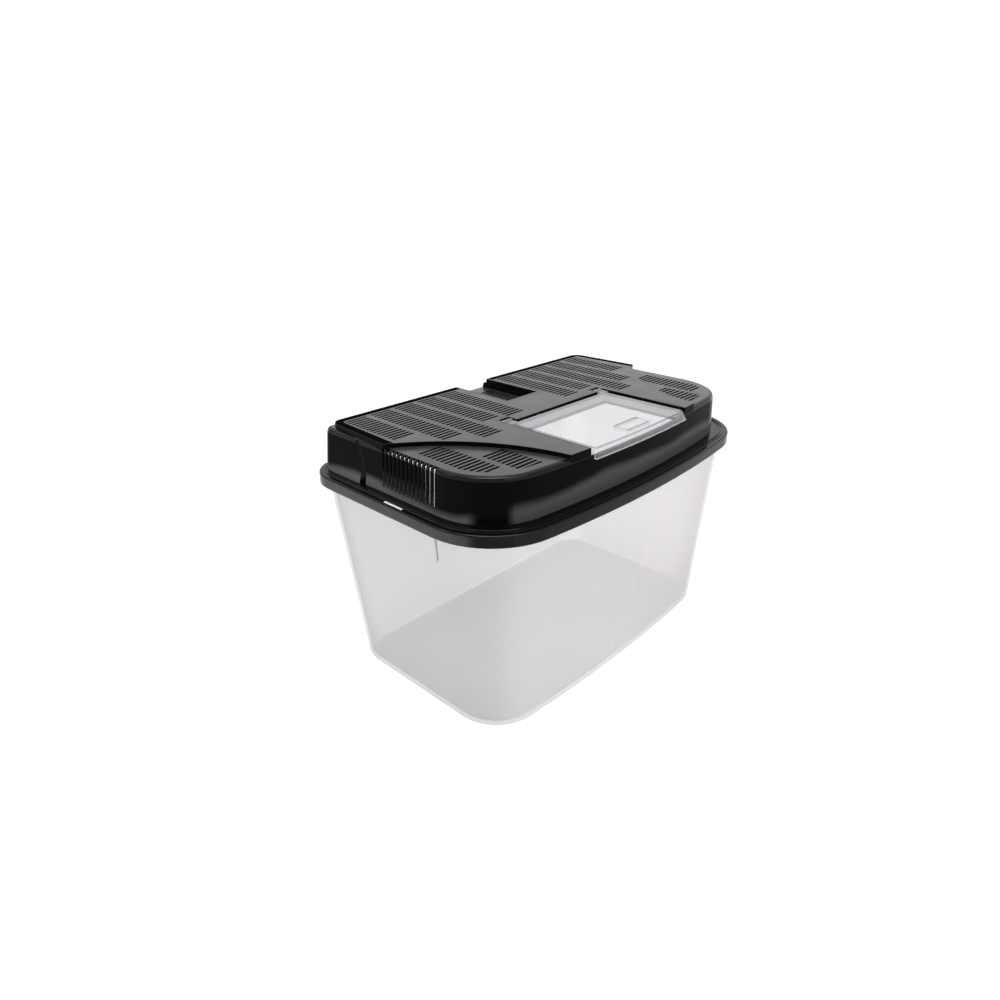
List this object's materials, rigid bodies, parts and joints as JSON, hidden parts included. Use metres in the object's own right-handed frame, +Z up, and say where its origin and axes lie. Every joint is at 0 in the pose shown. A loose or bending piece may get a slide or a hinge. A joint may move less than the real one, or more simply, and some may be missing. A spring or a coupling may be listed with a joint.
{
  "type": "plastic pet keeper",
  "caption": "Clear tapered plastic tub with a black vented press-on lid, a rear hose notch and a hinged clear feeding hatch, for small pets.",
  "frame": {"origin": "middle of the footprint of the lid's skirt, on the surface that the tub's base stands on", "axes": "+X along the length, -Y towards the bulged front with the hatch's lip, +Z up"},
  "size_m": [0.36, 0.2252, 0.2228],
  "materials": {
    "clear_tub": "clear moulded polystyrene, glossy, faintly hazy",
    "black_plastic": "black moulded polystyrene, glossy",
    "clear_hatch": "clear moulded polystyrene, glossy, slightly milky"
  },
  "bodies": {
    "tub": {"tub": "clear_tub"},
    "lid": {"lid_rim": "black_plastic", "lid_hood": "black_plastic", "lid_deck": "black_plastic", "hatch_seat": "black_plastic", "hose_notch": "black_plastic"},
    "hatch": {"hatch": "clear_hatch"}
  },
  "joints": [
    {"name": "lid_lift", "type": "slide", "parent": "tub", "child": "lid", "axis": [0, 0, 1], "range_m": [0, 0.06]},
    {"name": "hatch_hinge", "type": "hinge", "parent": "lid", "child": "hatch", "pos_m": [0, -0.0041, 0.2193], "axis": [-1, 0, 0], "range_deg": [0, 105]}
  ]
}
